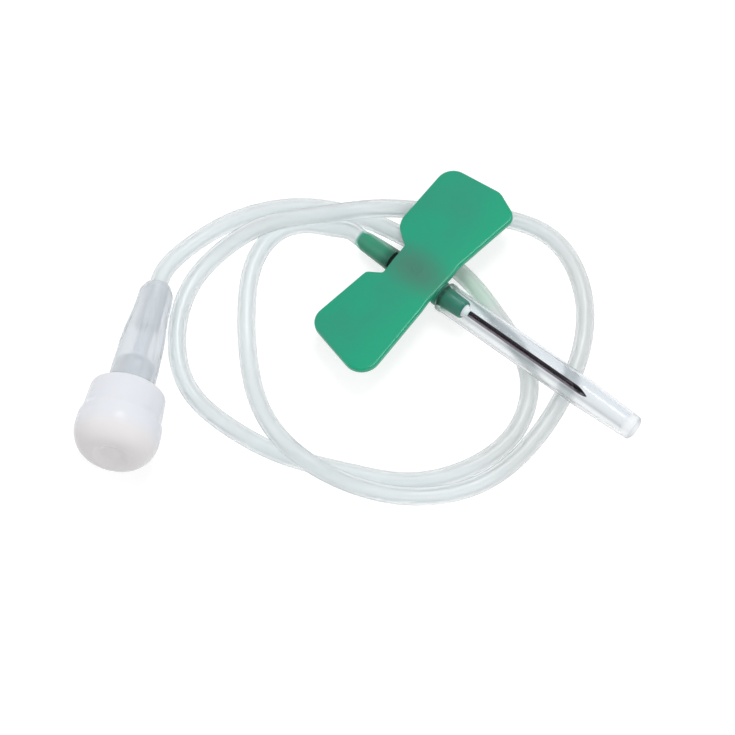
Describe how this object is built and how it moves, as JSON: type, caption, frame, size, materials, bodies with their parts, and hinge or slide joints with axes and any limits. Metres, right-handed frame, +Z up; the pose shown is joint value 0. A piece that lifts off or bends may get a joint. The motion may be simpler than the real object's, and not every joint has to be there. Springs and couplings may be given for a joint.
{
  "type": "butterfly needle",
  "caption": "Winged infusion set: green wings, steel needle in a clear sheath, soft clear tubing in loose loops and a female luer connector with a white cap.",
  "frame": {"origin": "centre of the box round the wings, needle and sheath, at rest on a table", "axes": "+X along the needle's run from tubing to sheath, level; +Y across the wings towards the wide wing; +Z up from the table"},
  "size_m": [0.0612, 0.0628, 0.0109],
  "materials": {
    "green_plastic": "smooth moulded green plastic, slightly see-through",
    "needle_steel": "drawn stainless steel tube",
    "clear_glue": "clear set glue",
    "clear_sheath": "clear moulded plastic with a pale lilac tint",
    "clear_tube": "clear soft plastic tube",
    "clear_luer": "clear moulded plastic",
    "white_cap": "milky white moulded plastic"
  },
  "bodies": {
    "winged_set": {"wing_hub": "green_plastic", "needle_cannula": "needle_steel", "needle_adhesive": "clear_glue", "tubing": "clear_tube", "luer_connector": "clear_luer"},
    "sheath": {"needle_sheath": "clear_sheath"},
    "cap": {"luer_cap": "white_cap"}
  },
  "joints": [
    {"name": "sheath_slide", "type": "slide", "parent": "winged_set", "child": "sheath", "axis": [0.9945, 0, 0.1045], "range_m": [0, 0.03]},
    {"name": "cap_pull", "type": "slide", "parent": "winged_set", "child": "cap", "axis": [0.4819, -0.8622, 0.1564], "range_m": [0, 0.012]}
  ]
}
